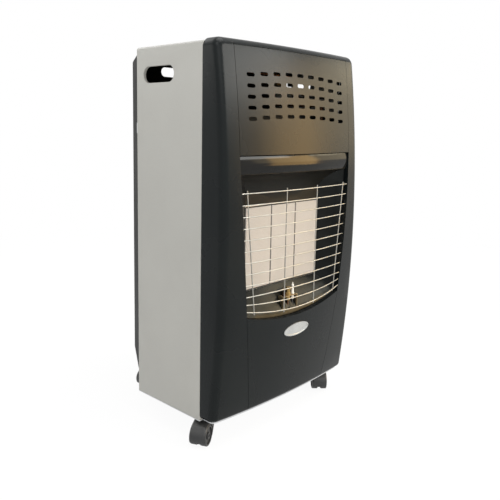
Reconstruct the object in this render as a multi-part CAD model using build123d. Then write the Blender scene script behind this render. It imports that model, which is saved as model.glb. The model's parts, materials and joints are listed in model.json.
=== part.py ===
"""Portable gas cabinet heater: steel cabinet on four twin-wheel casters, domed
pressed front with a slotted vent panel, three ceramic burner plaques behind a
curved wire guard, gas valve and igniter under the top, lift-off bottle cover.

Cabinet frame while modelling, in millimetres: X to the right, Y to the rear from
the front edge of the side panels, Z up from the floor. Every piece is moved on
export so that the origin is the centre of the footprint, on the floor.
"""
from build123d import *
import functools
import math
import os

# ---- cabinet -------------------------------------------------------------
body_width = 420.0          # over the side panels
body_top = 755.0            # floor to the top fold of the side panels
floor_gap = 50.0            # floor to the underside of the base pan
side_depth = 190.0          # front edge to rear edge of a side panel
sheet = 1.0                 # cabinet steel
side_flange = 16.0          # inward folds of the side panels
fold_radius = 5.0           # round fold along the top of the sides
edge_fold_radius = 2.0      # folds down the front and rear of the sides
seat_gap = 0.3              # between pieces that rest on each other
contact_gap = 0.1           # pipe ends and nuts off what they meet

# ---- handle slots --------------------------------------------------------
handle_length = 90.0
handle_height = 31.0
handle_back = 67.0          # its middle ahead of the rear fold
handle_drop = 53.5          # and below the top fold
handle_lip = 6.0            # depth of the rolled lip inside the slot
handle_lip_wall = 1.6

# ---- domed front pressing ------------------------------------------------
front_bow = 69.0            # face ahead of the side panels, at its middle
front_bow_drop = 24.0       # bow in the side view, middle to ends
front_crown = 8.0           # crown in plan over crown_half
crown_half = 172.0
front_foot = 53.3           # underside of the front pressing
front_skin = 1.2
front_rise = 5.0            # above the side folds
front_shoulder = 18.0       # upper corners, seen from the front
front_corner = 16.0         # upright and top edges
front_edge = 10.0           # bottom edge
foot_return_y = -20.0       # rear edge of the short fold underneath

# ---- centre band between the two seams -----------------------------------
band_half_top = 172.5
band_drop = 6.0             # its top below the side folds
band_half_visor = 171.0
visor_drop = 200.0
band_half_sill = 151.6
sill_drop = 455.0
band_half_foot = 121.3
band_foot = 70.0
seam_gap = 0.8
seam_hole_radius = 1.6      # round end of each seam
landing_width = 8.0         # joggled strip that the panels lie on
joggle_rise = 3.0           # joggle above the band's top
landing_gap = 0.3
stile_return = 14.0         # fold into the opening at each side

# ---- vent panel ----------------------------------------------------------
slot_columns = 9
slot_rows = 5
slot_pitch_x = 34.3
slot_pitch_z = 19.6
slot_length = 20.0
slot_height = 7.2
slot_drop = 56.5            # top row, at its ends, below the side folds
slot_arch = 6.5             # rise of a row to its middle
panel_hem = 9.0

# ---- lower front panel and badge -----------------------------------------
lip_end_drop = 504.0
lip_mid_drop = 525.0
lip_hem = 11.0
badge_drop = 556.0
badge_width = 78.0
badge_height = 26.0
badge_plate = 1.2
badge_rim = 2.0             # height of the raised rim
badge_rim_width = 2.5

# ---- visor strip and hood ------------------------------------------------
visor_height = 34.0
visor_recess = 3.0          # behind the face
visor_thick = 2.0
visor_bulge = 2.5
hood_sheet = 1.0
visor_side_gap = 0.8

# ---- reflector round the burner ------------------------------------------
reflector_front_y = -50.0
reflector_sheet = 0.8

# ---- burner --------------------------------------------------------------
plaque_face_y = -20.0
plaque_width = 73.6
plaque_height = 160.0
plaque_thick = 13.0
plaque_gap = 2.2
plaque_drop = 463.0         # foot of the plaques below the side folds
plaque_bevel = 0.8
seal_thick = 2.6            # fibre round the plaques
housing_sheet = 1.0
housing_back_y = 15.0
plenum_step = 8.0           # ledge that carries the plaques
housing_setback = 0.6       # housing rim behind the reflector's rear edge
venturi_radius = 9.0
venturi_bore = 7.5
venturi_mouth = 12.0
venturi_length = 26.0
venturi_flare = 6.0
rail_radius = 6.0
rail_bore = 4.6
rail_left_x = -92.0
rail_right_x = 132.0
injector_radius = 4.0
injector_height = 7.0
injector_entry = 1.0        # injector tip inside the venturi mouth
rail_foot = 10.0

# ---- wire guard ----------------------------------------------------------
wire_radius = 1.1
guard_end_y = -57.0
guard_bow = 12.0
guard_drop = 268.5
guard_pitch = 21.6
guard_even_wires = 10
guard_sag_wires = ((208.5, 7.8), (222.0, 15.5))   # ends below the top wire, drop at the middle
upright_inner_x = 48.0
upright_outer_top = 151.0
upright_outer_low = 127.5
upright_overhang = 5.0
weld_depth = 0.6            # how far crossing wires sink into each other
wire_tail = 3.0             # wire end beyond the stile's fold
wire_hole_gap = 0.4

# ---- pilot ---------------------------------------------------------------
pilot_y = -40.0
pilot_plate = (46.0, 12.0, 1.5)
pilot_drop = 488.5
pilot_slot_gap = 1.5
pilot_body_radius = 5.5
pilot_body_height = 17.0
pilot_x = -4.0
electrode_radius = 2.6
electrode_x = 11.0
electrode_height = 20.0
thermocouple_radius = 2.2
thermocouple_x = -17.0
thermocouple_height = 18.0
pilot_tail = 9.0            # how far the three reach below their plate

# ---- controls ------------------------------------------------------------
knob_x = 55.0
igniter_x = 117.0
control_y = 62.0
well_length = 132.0
well_width = 64.0
well_depth = 14.0
bezel_wall = 1.5
bezel_flange = 4.0
knob_radius = 21.0
knob_height = 15.0
knob_round = 1.2
knob_lift = 4.0             # knob above the well's floor
knob_grip = 6.0
push_travel = 3.0
spindle_radius = 4.0
running_gap = 0.06
button_radius = 8.0
button_height = 12.0
button_travel = 5.0
button_gap = 0.3
igniter_radius = 10.5
igniter_length = 46.0
igniter_cap_radius = 13.0
igniter_cap = 3.0
igniter_nut = 14.0
igniter_nut_height = 6.0
valve_size = (44.0, 38.0, 32.0)
bonnet_radius = 11.0
bonnet_height = 8.0
bonnet_bore_depth = 22.0
bracket_sheet = 2.0
bracket_width = 60.0
bracket_foot = 12.0
bracket_margin = 4.0        # bracket arms outside the well
port_radius = 7.0
port_length = 8.0
collar_radius = 8.0
collar_height = 3.0

# ---- gas pipes and leads -------------------------------------------------
inlet_radius = 5.0
inlet_length = 26.0
inlet_chamfer = 1.0
inlet_hex = 8.0
burner_pipe_radius = 4.0
pilot_pipe_radius = 2.0
lead_radius = 1.6
thermo_lead_radius = 1.2
pipe_bend = 10.0
burner_run_x, burner_run_drop = 150.0, 100.0
pilot_run_x, pilot_run_y, pilot_run_drop = 150.0, 8.0, 540.0
thermo_run_x, thermo_run_y, thermo_run_drop = 160.0, 12.0, 532.0
spark_run_x, spark_run_y, spark_run_drop = 178.0, 12.0, 550.0

# ---- heat shield ---------------------------------------------------------
shield_y = 18.0
shield_low_z = 120.0
shield_drop = 115.0
shield_flange = 14.0

# ---- base pan ------------------------------------------------------------
base_setback = 7.0          # behind the foot of the front pressing
base_front_inset = 9.0      # each side
base_corner = 12.0
base_sheet = 1.2
base_hem = 2.9
base_rim = 12.0
base_side_flange = 15.0
base_inset = 10.0           # inside the bottle cover's outline

# ---- bottle cover --------------------------------------------------------
cover_reach = 318.0         # rear face
cover_gap = 4.6             # behind the side panels
cover_side_inset = 4.0
cover_half_rear = 125.7      # before its corners are rounded
cover_corner = 25.0
cover_foot_z = 97.0
cover_drop = 7.0
cover_edge = 10.0
cover_return = 14.0
grip_length = 90.0
grip_height = 21.0
grip_drop = 27.5
louvre_rows = 7
louvre_length = 56.0
louvre_height = 5.0
louvre_pitch_z = 16.0
louvre_pitch_x = 74.0
louvre_low_z = 150.0
hook_drop = 145.0           # top of the staples that the cover hangs on
hook_inset = 9.0
staple_height = 20.0
staple_wall = 1.0
staple_depth = 3.1          # room behind the rear fold
tongue_width = 8.0
tongue_thick = 1.0
tongue_gap = 0.9
bridge_height = 4.0
bumper_z = 130.0
bumper_size = (12.0, 24.0)  # across and up

# ---- casters -------------------------------------------------------------
front_stem_inset = 27.0
front_stem_y = 13.0
rear_stem_inset = 34.7      # inside the cover's rear half width
rear_stem_back = 34.0
trail = 22.0                # stem to wheel axle, to the left before it is turned
front_left_turn = 25.5      # degrees, as parked
front_right_turn = 44.7
rear_left_turn = 0.0
rear_right_turn = 20.0
wheel_radius = 20.0
wheel_width = 13.0
wheel_dish = 2.5
web_thick = 6.0
wheel_gap = 0.6
hood_radius = 23.0
hood_wall = 1.8
hood_skirt_drop = 9.0       # hood edge below the axle
hood_round = 4.0
web_rise = 5.0              # web edge above the floor
hub_radius = 7.0
tread_round = 2.0
axle_radius = 3.0
stem_radius = 5.0
stem_boss = 8.5
stem_boss_top = 49.2
stem_boss_low = 28.0
stem_rise = 22.0
stem_seat = 14.0            # stem inside the hood's boss
socket_wall = 2.5
socket_flange = 4.0
socket_flange_thick = 2.0

# ---- fasteners -----------------------------------------------------------
screw_radius = 1.9
screw_head_radius = 3.8
screw_head = 2.2
screw_length = 8.0
screw_gap = 0.2
screw_round = 1.32
screw_slot = 0.5            # half width of the driver slot
screw_slot_floor = 1.4      # its floor above the fold
screw_side = 9.5            # inside the side panels' faces
screw_inset = 12.0
top_front_fold = 12.0
top_rear_fold = 19.0

# ---- worked out from the sizes above -------------------------------------
half_width = body_width / 2
front_top = body_top + front_rise
handle_y, handle_z = side_depth - handle_back, body_top - handle_drop
band_top = body_top - band_drop
visor_top = body_top - visor_drop
visor_bottom = visor_top - visor_height
band_sill = body_top - sill_drop
slot_top_z = body_top - slot_drop
lip_end_z, lip_mid_z = body_top - lip_end_drop, body_top - lip_mid_drop
badge_z = body_top - badge_drop
plaque_low_z = body_top - plaque_drop
guard_top_z = body_top - guard_drop
pilot_plate_z = body_top - pilot_drop
burner_run_z = body_top - burner_run_drop
pilot_run_z = body_top - pilot_run_drop
thermo_run_z = body_top - thermo_run_drop
spark_run_z = body_top - spark_run_drop
shield_high_z = body_top - shield_drop
base_front_half = half_width - base_front_inset
cover_start_y = side_depth + cover_gap
cover_half_front = half_width - cover_side_inset
cover_top_z = body_top - cover_drop
grip_z = body_top - grip_drop
hook_x, hook_z = half_width - hook_inset, body_top - hook_drop
front_stem_x = half_width - front_stem_inset
rear_stem_x, rear_stem_y = cover_half_rear - rear_stem_inset, cover_reach - rear_stem_back
screw_x = half_width - screw_side
guard_front = front_bow + wire_radius
shift_y = (guard_front - cover_reach) / 2
face_half_height = (front_top - front_foot) / 2
face_mid_z = (front_top + front_foot) / 2
bow_radius = face_half_height**2 / (2 * front_bow_drop) + front_bow_drop / 2
crown_radius = crown_half**2 / (2 * front_crown) + front_crown / 2
crown_axis = Axis((0, crown_radius - front_bow, 0), (0, 0, 1))
plaque_pitch = plaque_width + plaque_gap
plaque_top_z = plaque_low_z + plaque_height
plaque_back_y = plaque_face_y + plaque_thick
burner_half = 1.5 * plaque_width + plaque_gap + seal_thick + housing_sheet
burner_low = plaque_low_z - seal_thick - housing_sheet
burner_high = plaque_top_z + seal_thick + housing_sheet
rear_edge_y = plaque_face_y + 1.0
plenum_low = burner_low + plenum_step
plenum_mid_y = (plaque_back_y + housing_back_y) / 2
mouth_z = plenum_low - venturi_length
rail_z = mouth_z + injector_entry - injector_height - rail_radius
well_x = (knob_x + igniter_x) / 2
well_floor = body_top - well_depth
knob_low = well_floor + knob_lift
collar_top = well_floor - bezel_wall - 2 * contact_gap
bonnet_top = collar_top - collar_height - push_travel - seat_gap
valve_top = bonnet_top - bonnet_height
valve_z = valve_top - valve_size[2] / 2
panel_x = half_width - sheet - seat_gap
side_low = floor_gap + base_sheet + seat_gap
hood_half = web_thick / 2 + wheel_gap + wheel_width
far = 2000.0


def block(x, y, z):
    """Box from three (low, high) pairs."""
    size = [high - low for low, high in (x, y, z)]
    centre = [(high + low) / 2 for low, high in (x, y, z)]
    return Pos(*centre) * Box(*size)


def rod(start, end, radius):
    """Round bar between two points."""
    start, end = Vector(*start), Vector(*end)
    plane = Plane(origin=start, z_dir=end - start)
    return extrude(plane * Circle(radius), (end - start).length)


def tube(points, radii, radius):
    """Bent pipe of straight runs and tangent arcs."""
    path = FilletPolyline(*points, radius=radii)
    start = Plane(origin=path @ 0, z_dir=path % 0)
    return sweep(start * Circle(radius), path)


def face_depth(z, inset=0.0):
    """Distance of the front's middle line ahead of the side panels."""
    radius = bow_radius - inset
    return front_bow - bow_radius + math.sqrt(radius**2 - (z - face_mid_z) ** 2)


def seam_circle():
    """Centre and radius of the arc that a seam follows below the visor."""
    points = ((band_half_visor, visor_top), (band_half_sill, band_sill), (band_half_foot, band_foot))
    (x1, z1), (x2, z2), (x3, z3) = points
    d = 2 * (x1 * (z2 - z3) + x2 * (z3 - z1) + x3 * (z1 - z2))
    s1, s2, s3 = (x * x + z * z for x, z in points)
    cx = (s1 * (z2 - z3) + s2 * (z3 - z1) + s3 * (z1 - z2)) / d
    cz = (s1 * (x3 - x2) + s2 * (x1 - x3) + s3 * (x2 - x1)) / d
    return cx, cz, math.hypot(x1 - cx, z1 - cz)


def seam_x(z):
    """Half width of the centre band at a height."""
    if z >= visor_top:
        share = (z - visor_top) / (band_top - visor_top)
        return band_half_visor + share * (band_half_top - band_half_visor)
    cx, cz, radius = seam_circle()
    side = 1 if band_half_visor > cx else -1
    return cx + side * math.sqrt(radius**2 - (z - cz) ** 2)


def seam_arc(side, z0, z1, inset=0.0):
    """One seam between two heights below the visor, drawn from z0 to z1."""
    zm = (z0 + z1) / 2
    return ThreePointArc(*((side * (seam_x(z) - inset), z) for z in (z0, zm, z1)))


@functools.cache
def front_block(inset, rear=0.0):
    """Solid behind the domed face, with every outer face moved in evenly."""
    low, high = front_foot + inset, front_top - inset
    turn = 2 * math.degrees(math.asin(half_width / crown_radius)) + 6
    with BuildSketch(Plane.YZ) as profile:
        with BuildLine():
            face = [(-face_depth(z, inset), z) for z in (high, face_mid_z, low)]
            ThreePointArc(*face)
            Polyline(face[2], (side_depth, low), (side_depth, high), face[0])
        make_face()
    dome = revolve(profile.sketch.rotate(crown_axis, -turn / 2), crown_axis, turn)
    width = half_width - inset
    body = dome & block((-width, width), (-far, rear), (0, far))
    body = fillet(body.edges().filter_by(Axis.Y).group_by(Axis.Z)[-1], front_shoulder - inset)
    rim = [e for e in body.faces().sort_by(Axis.Y)[0].edges() if (e @ 0.5).Z > low + 1]
    body = fillet(rim, front_corner - inset)
    if inset >= front_edge:
        return body
    foot = [e for e in body.edges() if abs((e @ 0.5).Z - low) < 0.01 and (e @ 0.5).Y < rear - 0.1]
    return fillet(foot, front_edge - inset)


def front_skin_between(outer, inner, rear=0.0):
    """Layer of the pressing between two depths below its face."""
    return front_block(outer, rear) - front_block(inner, rear + 1)


def band_prism(inset, low=0.0, high=band_top):
    """Everything between the two seams, moved in from them evenly."""
    foot = max(low, front_foot - front_edge)
    with BuildSketch(Plane.XZ) as outline:
        with BuildLine():
            seam_arc(1, foot, visor_top, inset)
            Polyline((band_half_visor - inset, visor_top), (seam_x(high) - inset, high),
                     (inset - seam_x(high), high), (inset - band_half_visor, visor_top))
            seam_arc(-1, visor_top, foot, inset)
            Line((inset - seam_x(foot), foot), (seam_x(foot) - inset, foot))
        make_face()
    return extrude(outline.sketch, far / 2, both=True)


def lip_prism(drop):
    """Everything below the bowed upper edge of the lower panel."""
    half = seam_x(lip_end_z)
    with BuildSketch(Plane.XZ) as outline:
        with BuildLine():
            ThreePointArc((-half, lip_end_z - drop), (0, lip_mid_z - drop), (half, lip_end_z - drop))
            Polyline((half, lip_end_z - drop), (half_width, lip_end_z - drop), (half_width, 0),
                     (-half_width, 0), (-half_width, lip_end_z - drop), (-half, lip_end_z - drop))
        make_face()
    return extrude(outline.sketch, far / 2, both=True)


def foot_cut():
    """Leaves a short return under the front pressing, clear of the casters."""
    width = half_width - 2 * front_skin
    return block((-width, width), (foot_return_y, far), (0, front_foot + front_edge / 2))


# ---- front ---------------------------------------------------------------
def make_front_frame():
    """Stiles, header and foot in one pressing, with landings for the panels."""
    skin = front_skin_between(0, front_skin) - band_prism(0)
    depth = front_skin + landing_gap
    back = depth + front_skin
    ring = band_prism(0) - band_prism(landing_width, front_foot + landing_width, band_top - landing_width)
    joggle = front_skin_between(front_skin, back) & (band_prism(-landing_width / 2, 0, band_top + joggle_rise) - band_prism(0))
    landing = (front_skin_between(depth, back) & ring) + joggle
    opening = (lip_mid_z - lip_hem, visor_top)
    landing -= block((-far, far), (-far, far), opening)
    fold = (band_prism(-front_skin) - band_prism(0)) & front_block(front_skin / 2, 1)
    fold &= block((-far, far), (-far, guard_end_y + stile_return), opening)
    frame = skin + landing + fold - foot_cut()
    for z, drop in guard_rows():
        end = wire_end_x(z)
        start, stop = seam_x(z) - landing_width / 2, end + wire_hole_gap
        for side in (-1, 1):
            frame -= rod((side * start, *wire_point(start, end, z, drop)),
                         (side * stop, *wire_point(stop, end, z, drop)), wire_radius + wire_hole_gap)
    for side in (-1, 1):
        hole = rod((side * band_half_top, -front_bow, band_top), (side * band_half_top, 0, band_top),
                   seam_hole_radius)
        frame -= hole & front_block(-1)
    return frame


def vent_slots():
    """Arched rows of round-ended slots, as bars through the panel."""
    bars = []
    reach = slot_pitch_x * (slot_columns - 1) / 2
    for row in range(slot_rows):
        for column in range(slot_columns):
            x = slot_pitch_x * column - reach
            z = slot_top_z - slot_pitch_z * row + slot_arch * (1 - (x / reach) ** 2)
            bars.append(Pos(x, 0, z) * extrude(Plane.XZ * SlotOverall(slot_length, slot_height), 2 * front_bow))
    return bars


def make_vent_panel():
    area = band_prism(seam_gap, 0, band_top - seam_gap) & block((-far, far), (-far, far), (visor_top, far))
    panel = front_skin_between(0, front_skin) & area
    hem = front_skin_between(front_skin / 2, panel_hem) & area & band_prism(landing_width + seat_gap)
    panel += hem & block((-far, far), (-far, far), (0, visor_top + front_skin))
    return panel - vent_slots()


def make_lower_panel():
    area = band_prism(seam_gap) & lip_prism(0)
    panel = front_skin_between(0, front_skin) & area
    panel += front_skin_between(front_skin / 2, lip_hem) & (area - lip_prism(front_skin))
    return panel - foot_cut()


def make_badge():
    """Bare oval plate with a raised rim, bent to the panel."""
    def oval(inset):
        ellipse = Ellipse(badge_width / 2 - inset, badge_height / 2 - inset)
        return Pos(0, 0, badge_z) * extrude(Plane.XZ * ellipse, 2 * front_bow)
    plate = front_skin_between(-badge_plate, 0) & oval(0)
    rim = front_skin_between(-badge_rim, 0) & (oval(0) - oval(badge_rim_width))
    return plate + rim


def crowned(profile):
    """Turns a profile drawn on the middle plane about the crown of the front."""
    turn = 2 * math.degrees(math.asin(half_width / crown_radius)) + 2
    return revolve(profile.rotate(crown_axis, -turn / 2), crown_axis, turn)


def visor_face_y():
    return visor_recess - face_depth((visor_top + visor_bottom) / 2)


def make_visor_strip():
    """Convex gloss strip under the vent panel."""
    low, high = visor_bottom, visor_top - 2 * seat_gap - front_skin / 2
    mid = (low + high) / 2
    y = visor_face_y()
    with BuildSketch(Plane.YZ) as profile:
        with BuildLine():
            ThreePointArc((y + visor_bulge, low), (y, mid), (y + visor_bulge, high))
            Line((y + visor_bulge, high), (y + visor_bulge + visor_thick, high))
            ThreePointArc((y + visor_bulge + visor_thick, high), (y + visor_thick, mid),
                          (y + visor_bulge + visor_thick, low))
            Line((y + visor_bulge + visor_thick, low), (y + visor_bulge, low))
        make_face()
    return crowned(profile.sketch) & band_prism(visor_side_gap)


def hood_curve(out):
    """Ends and middle of the hood's roof on the middle plane, moved out from its lower face."""
    start = (visor_face_y() + visor_bulge, visor_bottom - seat_gap - hood_sheet)
    foot = (rear_edge_y - seat_gap - hood_sheet, burner_high + seat_gap)
    run, drop = foot[0] - start[0], start[1] - foot[1]
    lean = math.sqrt(0.5)
    middle = (start[0] + lean * (run + out), foot[1] + lean * (drop + out))
    return (start[0], start[1] + out), middle, (foot[0] + out, foot[1])


def make_burner_hood():
    """Coved roof from the visor strip back to the top of the burner, between the cheeks."""
    with BuildSketch(Plane.YZ) as profile:
        with BuildLine():
            lower, upper = hood_curve(0), hood_curve(hood_sheet)
            ThreePointArc(*lower)
            Line(lower[2], upper[2])
            ThreePointArc(*upper[::-1])
            Line(upper[0], lower[0])
        make_face()
    between = block((-half_width, half_width), (-far, reflector_front_y), (0, far))
    between += reflector_funnel(reflector_sheet + seat_gap)
    return crowned(profile.sketch) & band_prism(visor_side_gap) & between


def reflector_funnel(inset):
    """Solid from the bowed opening of the front to the burner's rectangle, as high as the visor."""
    half, low, high = burner_half - inset, burner_low + inset, visor_bottom
    side = inset + seat_gap
    lip = lip_end_z + side
    with BuildSketch(Plane.XZ.offset(-reflector_front_y)) as mouth:
        with BuildLine():
            seam_arc(1, lip, high, side)
            Line((seam_x(high) - side, high), (side - seam_x(high), high))
            seam_arc(-1, high, lip, side)
            ThreePointArc((side - seam_x(lip), lip), (0, lip_mid_z + side), (seam_x(lip) - side, lip))
        make_face()
    with BuildSketch(Plane.XZ.offset(-rear_edge_y)) as window:
        with BuildLine():
            Polyline((half, low), (half, high), (-half, high), (-half, low), close=True)
        make_face()
    return loft([mouth.sketch, window.sketch], ruled=True)


def make_reflector():
    """Cheeks and tray round the burner, cut off under the hood, with holes for the pilot group."""
    shell = reflector_funnel(0) - reflector_funnel(reflector_sheet)
    with BuildSketch(Plane.YZ) as above:
        with BuildLine():
            start, middle, foot = hood_curve(-seat_gap)
            ThreePointArc(start, middle, foot)
            Polyline(foot, (foot[0], burner_high), (0, burner_high), (0, body_top), (start[0], body_top), start)
        make_face()
    shell -= crowned(above.sketch)
    for x, radius in pilot_group():
        shell -= rod((x, pilot_y, lip_mid_z), (x, pilot_y, pilot_plate_z), radius + pilot_slot_gap)
    return shell


def guard_rows():
    """End height and middle drop of each cross wire, top to bottom."""
    even = [(guard_top_z - guard_pitch * row, 0.0) for row in range(guard_even_wires)]
    return even + [(guard_top_z - below, drop) for below, drop in guard_sag_wires]


def wire_end_x(z):
    return seam_x(z) + front_skin + wire_tail


def wire_point(x, end, z, drop):
    """Y and Z of a cross wire at a distance from the middle."""
    share = 1 - (x / end) ** 2
    return guard_end_y - guard_bow * share, z - drop * share


def make_guard():
    """Bowed cross wires welded to four uprights behind them."""
    guard = None
    for z, drop in guard_rows():
        end = wire_end_x(z)
        middle = (0, guard_end_y - guard_bow, z - drop)
        path = Edge.make_three_point_arc((-end, guard_end_y, z), middle, (end, guard_end_y, z))
        wire = sweep(Plane(origin=path @ 0, z_dir=path % 0) * Circle(wire_radius), path)
        guard = wire if guard is None else guard + wire
    behind = 2 * wire_radius - weld_depth
    top, (low, sag) = guard_top_z, guard_rows()[-1]
    for top_x, low_x in ((upright_inner_x, upright_inner_x), (upright_outer_top, upright_outer_low)):
        top_y = wire_point(top_x, wire_end_x(top), top, 0)[0] + behind
        low_y, low_z = wire_point(low_x, wire_end_x(low), low, sag)
        slope = (top_x - low_x) / (top - low_z)
        for side in (-1, 1):
            start = (side * (top_x + slope * upright_overhang), top_y, top + upright_overhang)
            end = (side * (low_x - slope * upright_overhang), low_y + behind, low_z - upright_overhang)
            guard += rod(start, end, wire_radius)
    return guard


# ---- burner --------------------------------------------------------------
def make_plaque(column):
    x = column * plaque_pitch
    plaque = block((x - plaque_width / 2, x + plaque_width / 2), (plaque_face_y, plaque_back_y),
                   (plaque_low_z, plaque_top_z))
    front = [e for e in plaque.edges() if abs((e @ 0.5).Y - plaque_face_y) < 0.01]
    return chamfer(front, plaque_bevel)


def make_plaque_seal():
    """Ceramic fibre round and between the plaques."""
    half = burner_half - housing_sheet
    seal = block((-half, half), (rear_edge_y + housing_setback, plaque_back_y),
                 (burner_low + housing_sheet, burner_high - housing_sheet))
    for column in (-1, 0, 1):
        x = column * plaque_pitch
        seal -= block((x - plaque_width / 2, x + plaque_width / 2), (-far, far), (plaque_low_z, plaque_top_z))
    return seal


def stepped_pan(inset):
    """Outer form of the burner housing, moved in evenly; open to the front."""
    half, rear = burner_half - inset, housing_back_y - inset
    rim = rear_edge_y + housing_setback - inset
    step = plaque_back_y + housing_sheet - inset
    tray = block((-half, half), (rim, step), (burner_low + inset, burner_high - inset))
    plenum = block((plenum_step - half, half - plenum_step), (rim, rear),
                   (plenum_low + inset, burner_high - plenum_step - inset))
    return tray + plenum


def make_burner_housing():
    housing = stepped_pan(0) - stepped_pan(housing_sheet)
    for column in (-1, 0, 1):
        x = column * plaque_pitch
        housing -= rod((x, plenum_mid_y, burner_low), (x, plenum_mid_y, plenum_low + 2 * housing_sheet), venturi_bore)
    return housing


def make_venturi_tubes():
    """Three mixing tubes with flared mouths under the housing."""
    tubes = []
    for column in (-1, 0, 1):
        with BuildSketch(Plane.XZ) as profile:
            with BuildLine():
                wall = venturi_radius - venturi_bore
                Polyline((venturi_bore, plenum_low), (venturi_radius, plenum_low),
                         (venturi_radius, mouth_z + venturi_flare), (venturi_mouth, mouth_z),
                         (venturi_mouth - wall, mouth_z), (venturi_bore, mouth_z + venturi_flare), close=True)
            make_face()
        tubes.append(Pos(column * plaque_pitch, plenum_mid_y, 0) * revolve(profile.sketch, Axis.Z))
    return Compound(children=tubes)


def make_injector_rail():
    """Gas rail with one injector under each mixing tube and a foot on the shield."""
    rail = rod((rail_left_x, plenum_mid_y, rail_z), (rail_right_x, plenum_mid_y, rail_z), rail_radius)
    for column in (-1, 0, 1):
        x = column * plaque_pitch
        rail += rod((x, plenum_mid_y, rail_z), (x, plenum_mid_y, mouth_z + injector_entry), injector_radius)
    rail -= rod((rail_left_x + rail_bore, plenum_mid_y, rail_z), (rail_right_x + 1, plenum_mid_y, rail_z), rail_bore)
    for x in (rail_left_x + rail_foot, rail_right_x - rail_foot):
        rail += block((x - rail_foot / 2, x + rail_foot / 2), (plenum_mid_y + rail_bore, shield_y - seat_gap),
                      (rail_z - rail_radius, rail_z + rail_radius))
    return rail


def make_heat_shield():
    """Sheet between burner and bottle, with a fold along each side panel."""
    shield = block((-panel_x, panel_x), (shield_y, shield_y + sheet), (shield_low_z, shield_high_z))
    for side in (-1, 1):
        x = sorted((side * panel_x, side * (panel_x - sheet)))
        shield += block(x, (shield_y - shield_flange, shield_y + sheet), (shield_low_z, shield_high_z))
    return shield


# ---- pilot ---------------------------------------------------------------
def tray_y(z):
    """Y of the tray's face on the middle plane at a height."""
    low = lip_mid_z + seat_gap + reflector_sheet
    high = burner_low + reflector_sheet
    return reflector_front_y + (z - low) / (high - low) * (rear_edge_y - reflector_front_y)


def tray_z(y):
    low = lip_mid_z + seat_gap + reflector_sheet
    high = burner_low + reflector_sheet
    return low + (y - reflector_front_y) / (rear_edge_y - reflector_front_y) * (high - low)


def make_pilot_bracket():
    """Plate that stands on the sloping tray and carries the pilot group."""
    length, width, thick = pilot_plate
    x = (electrode_x + thermocouple_x) / 2
    low = pilot_plate_z - thick
    plate = block((x - length / 2, x + length / 2), (pilot_y - width / 2, tray_y(low) - 2 * seat_gap),
                  (low, pilot_plate_z))
    for leg_x in (x - length / 2, x + length / 2 - thick):
        leg = block((leg_x, leg_x + thick), (pilot_y - width / 2, tray_y(low) - 2 * seat_gap), (lip_mid_z, low))
        plate += leg - reflector_floor()
    for part_x, radius in pilot_group():
        plate -= rod((part_x, pilot_y, low - 1), (part_x, pilot_y, pilot_plate_z + 1), radius)
    return plate


def reflector_floor():
    """Wedge under the tray's face, with the resting gap on top."""
    rise = 2 * seat_gap
    with BuildSketch(Plane.YZ) as profile:
        with BuildLine():
            Polyline((reflector_front_y, tray_z(reflector_front_y) + rise), (rear_edge_y, tray_z(rear_edge_y) + rise),
                     (rear_edge_y, 0), (reflector_front_y, 0), close=True)
        make_face()
    return extrude(profile.sketch, pilot_plate[0], both=True)


def pilot_group():
    """X and radius of what stands in the pilot plate."""
    return ((pilot_x, pilot_body_radius - 1), (electrode_x, electrode_radius), (thermocouple_x, thermocouple_radius))


def make_pilot_burner():
    """Brass pilot: hexagon under the plate, round body and side jet above it."""
    radius = pilot_body_radius
    low = pilot_plate_z - pilot_plate[2]
    body = rod((pilot_x, pilot_y, low - pilot_tail), (pilot_x, pilot_y, pilot_plate_z + pilot_body_height), radius - 1)
    body += Pos(pilot_x, pilot_y, pilot_plate_z) * extrude(RegularPolygon(radius + 1, 6), pilot_body_height / 3)
    top = pilot_plate_z + pilot_body_height
    body += rod((pilot_x - radius, pilot_y, top - 4), (electrode_x - electrode_radius - 2, pilot_y, top - 4), 2.6)
    body -= rod((pilot_x, pilot_y, low - pilot_tail - 1), (pilot_x, pilot_y, low), pilot_pipe_radius)
    return body


def make_electrode():
    """White ceramic tube with a metal tip."""
    low = pilot_plate_z - pilot_plate[2] - pilot_tail
    high = pilot_plate_z + electrode_height
    ceramic = rod((electrode_x, pilot_y, low), (electrode_x, pilot_y, high), electrode_radius)
    ceramic += rod((electrode_x, pilot_y, high), (electrode_x, pilot_y, high + 4), 0.9)
    collar = rod((electrode_x, pilot_y, pilot_plate_z), (electrode_x, pilot_y, pilot_plate_z + 3), electrode_radius + 1)
    return ceramic + collar


def make_thermocouple():
    low = pilot_plate_z - pilot_plate[2] - pilot_tail
    high = pilot_plate_z + thermocouple_height
    probe = rod((thermocouple_x, pilot_y, low), (thermocouple_x, pilot_y, high), thermocouple_radius)
    probe += rod((thermocouple_x, pilot_y, pilot_plate_z), (thermocouple_x, pilot_y, pilot_plate_z + 4),
                 thermocouple_radius + 1.4)
    top = probe.edges().sort_by(Axis.Z)[-1]
    return fillet(top, thermocouple_radius * 0.8)


# ---- controls under and in the top panel ---------------------------------
def well_stadium(grow, low, high):
    outline = SlotOverall(well_length + 2 * grow, well_width + 2 * grow)
    return Pos(well_x, control_y, low) * extrude(outline, high - low)


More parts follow.
